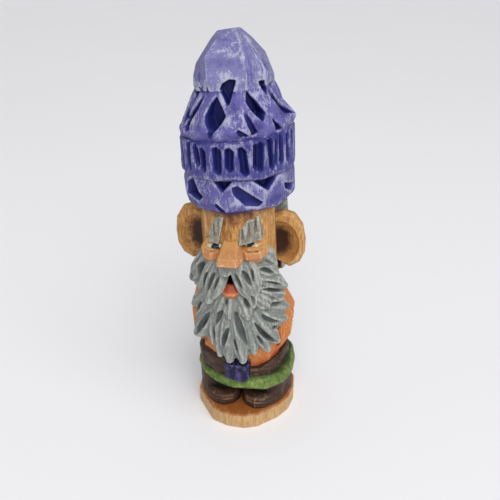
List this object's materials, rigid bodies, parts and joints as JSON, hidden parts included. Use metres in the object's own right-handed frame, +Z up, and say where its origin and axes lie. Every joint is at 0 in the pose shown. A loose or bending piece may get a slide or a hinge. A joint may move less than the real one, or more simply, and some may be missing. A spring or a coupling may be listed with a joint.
{
  "type": "tomte gnome figurine",
  "caption": "Free-standing carved and painted wooden tomte gnome with a tall knitted-pattern cap, big ears, a full beard, a belted shirt, boots and a flat stand.",
  "frame": {"origin": "on the table, under the middle of the stand's flat underside", "axes": "+Z up; the figure faces -Y; +X is the figure's own left"},
  "size_m": [0.0481, 0.044, 0.1461],
  "materials": {
    "bare_wood": "bare basswood, lightly oiled",
    "skin_wood": "antiqued flesh wash over wood",
    "blush_paint": "pink flesh wash over wood",
    "shirt_paint": "thin orange acrylic over wood",
    "leather_brown_paint": "brown acrylic, antiqued, satin",
    "trouser_paint": "green acrylic, satin",
    "buckle_paint": "dark blue and violet acrylic, satin",
    "hair_paint": "grey acrylic, dry-brushed",
    "eye_paint": "teal and white enamel dots, glossy",
    "hat_paint": "violet acrylic, dry-brushed with white"
  },
  "bodies": {
    "root": {"stand": "bare_wood", "head": "skin_wood", "ear_left": "skin_wood", "ear_right": "skin_wood", "hands": "skin_wood", "nose": "blush_paint", "cheek_left": "blush_paint", "cheek_right": "blush_paint", "lip": "blush_paint", "shirt": "shirt_paint", "sleeve_left": "shirt_paint", "sleeve_right": "shirt_paint", "boot_left": "leather_brown_paint", "boot_right": "leather_brown_paint", "belt": "leather_brown_paint", "trousers": "trouser_paint", "buckle": "buckle_paint", "hair": "hair_paint", "whisker_left": "hair_paint", "whisker_right": "hair_paint", "beard": "hair_paint", "moustache_left": "hair_paint", "moustache_right": "hair_paint", "brow_left": "hair_paint", "brow_right": "hair_paint", "eye_left": "eye_paint", "eye_right": "eye_paint", "hat_band": "hat_paint", "hat_cuff": "hat_paint", "hat_crown": "hat_paint", "hat_tip": "hat_paint"}
  },
  "joints": []
}
